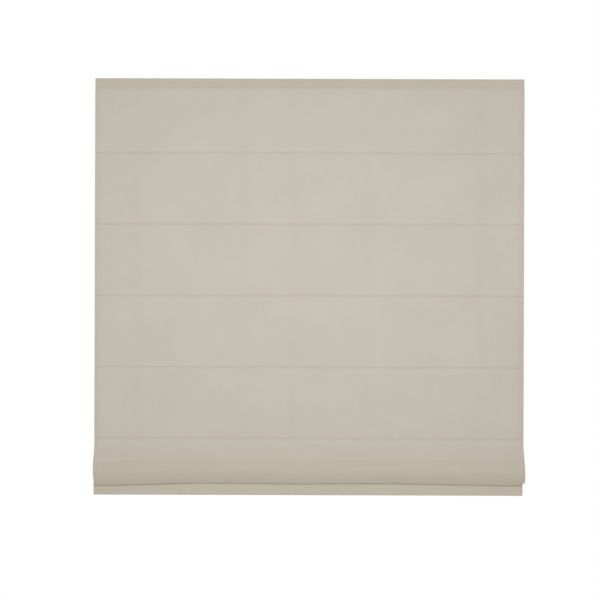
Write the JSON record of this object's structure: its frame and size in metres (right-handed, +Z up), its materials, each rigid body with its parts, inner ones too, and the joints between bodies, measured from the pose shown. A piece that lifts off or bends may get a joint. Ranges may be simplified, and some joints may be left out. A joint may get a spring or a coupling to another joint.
{
  "type": "roman blind",
  "caption": "Flat woven roman blind with seams across it, its last fold hanging forward over a hemmed bottom section, on a wall-fixed headrail with a spring lift and cords.",
  "frame": {"origin": "centre of the four wall screws, on the plane of the wall", "axes": "+X across the window to the right seen from the room, +Y into the wall, +Z up"},
  "size_m": [1.2, 0.0728, 1.165],
  "materials": {
    "cloth": "matte",
    "rail": "satin",
    "white_plastic": "satin",
    "clear_plastic": "gloss",
    "hook_tape": "matte",
    "tape": "matte",
    "zinc_steel": "satin",
    "spring_steel": "satin",
    "glass_rod": "satin",
    "cord": "matte",
    "bar": "satin"
  },
  "bodies": {
    "headrail_unit": {"headrail": "rail", "end_cap_left": "white_plastic", "end_cap_right": "white_plastic", "hook_tape": "hook_tape", "loop_tape": "tape", "wall_bracket_left": "zinc_steel", "wall_bracket_right": "zinc_steel", "motor_housing": "white_plastic", "motor_cover": "clear_plastic", "power_spring": "spring_steel", "cloth": "cloth", "spool_cradle_1": "clear_plastic", "spool_cradle_2": "clear_plastic", "spool_cradle_3": "clear_plastic", "spool_cradle_4": "clear_plastic", "lift_cord_1": "cord", "lift_cord_2": "cord", "lift_cord_3": "cord", "lift_cord_4": "cord"},
    "lift_shaft": {"drive_shaft": "zinc_steel", "spring_hub": "white_plastic", "cord_spool_1": "white_plastic", "cord_spool_2": "white_plastic", "cord_spool_3": "white_plastic", "cord_spool_4": "white_plastic"},
    "rod_1_carrier": {"rod_1": "glass_rod", "pocket_tape_1": "tape", "cord_rings_1": "clear_plastic"},
    "rod_2_carrier": {"rod_2": "glass_rod", "pocket_tape_2": "tape", "cord_rings_2": "clear_plastic"},
    "rod_3_carrier": {"rod_3": "glass_rod", "pocket_tape_3": "tape", "cord_rings_3": "clear_plastic"},
    "rod_4_carrier": {"rod_4": "glass_rod", "pocket_tape_4": "tape", "cord_rings_4": "clear_plastic"},
    "rod_5_carrier": {"rod_5": "glass_rod", "pocket_tape_5": "tape", "cord_rings_5": "clear_plastic"},
    "bottom_section": {"rod_6": "glass_rod", "pocket_tape_6": "tape", "cord_rings_6": "clear_plastic", "cord_stops": "clear_plastic", "bottom_bar": "bar", "bar_cap_left": "white_plastic", "bar_cap_right": "white_plastic"}
  },
  "joints": [
    {"name": "lift", "type": "slide", "parent": "headrail_unit", "child": "bottom_section", "axis": [0, 0, 1], "range_m": [0, 0.862], "deforming": ["cloth", "lift_cord_1", "lift_cord_2", "lift_cord_3", "lift_cord_4"]},
    {"name": "rod_1_gather", "type": "slide", "parent": "headrail_unit", "child": "rod_1_carrier", "axis": [0, 0, 1], "range_m": [0, 0.159]},
    {"name": "rod_2_gather", "type": "slide", "parent": "headrail_unit", "child": "rod_2_carrier", "axis": [0, 0, 1], "range_m": [0, 0.335]},
    {"name": "rod_3_gather", "type": "slide", "parent": "headrail_unit", "child": "rod_3_carrier", "axis": [0, 0, 1], "range_m": [0, 0.511]},
    {"name": "rod_4_gather", "type": "slide", "parent": "headrail_unit", "child": "rod_4_carrier", "axis": [0, 0, 1], "range_m": [0, 0.687]},
    {"name": "rod_5_gather", "type": "slide", "parent": "headrail_unit", "child": "rod_5_carrier", "axis": [0, 0, 1], "range_m": [0, 0.863]},
    {"name": "shaft_turn", "type": "hinge", "parent": "headrail_unit", "child": "lift_shaft", "pos_m": [0, -0.0274, 0.0006], "axis": [-1, 0, 0], "range_deg": [0, 4512]}
  ],
  "couplings": [
    {"joint": "rod_1_gather", "follows": "lift", "ratio": 0.18367},
    {"joint": "rod_2_gather", "follows": "lift", "ratio": 0.38776},
    {"joint": "rod_3_gather", "follows": "lift", "ratio": 0.59184},
    {"joint": "rod_4_gather", "follows": "lift", "ratio": 0.79592},
    {"joint": "rod_5_gather", "follows": "lift", "ratio": 1},
    {"joint": "shaft_turn", "follows": "lift", "rad_per_m": 91.324}
  ]
}
